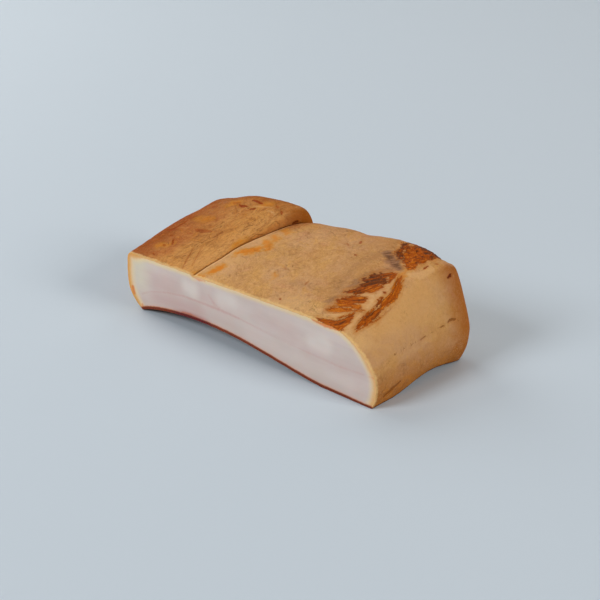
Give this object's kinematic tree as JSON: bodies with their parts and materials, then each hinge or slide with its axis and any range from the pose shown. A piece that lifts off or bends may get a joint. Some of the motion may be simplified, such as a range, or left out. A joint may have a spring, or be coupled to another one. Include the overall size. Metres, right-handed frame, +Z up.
{
  "type": "smoked bacon slab",
  "caption": "Thick slab of smoked fat bacon on its arched rind, cut clean along a long side, with a fold across its smoked top.",
  "frame": {"origin": "centre of the slab's box at its base, on the surface it lies on", "axes": "+X along the length towards the end with the lean streaks, -Y out of the clean cut, +Z up"},
  "size_m": [0.2134, 0.088, 0.0687],
  "materials": {
    "smoked_fat": "golden-tan smoked fat, slightly greasy; pinkish white fat on the cut, dark red-brown rind below"
  },
  "bodies": {
    "root": {"bacon_slab": "smoked_fat"}
  },
  "joints": []
}
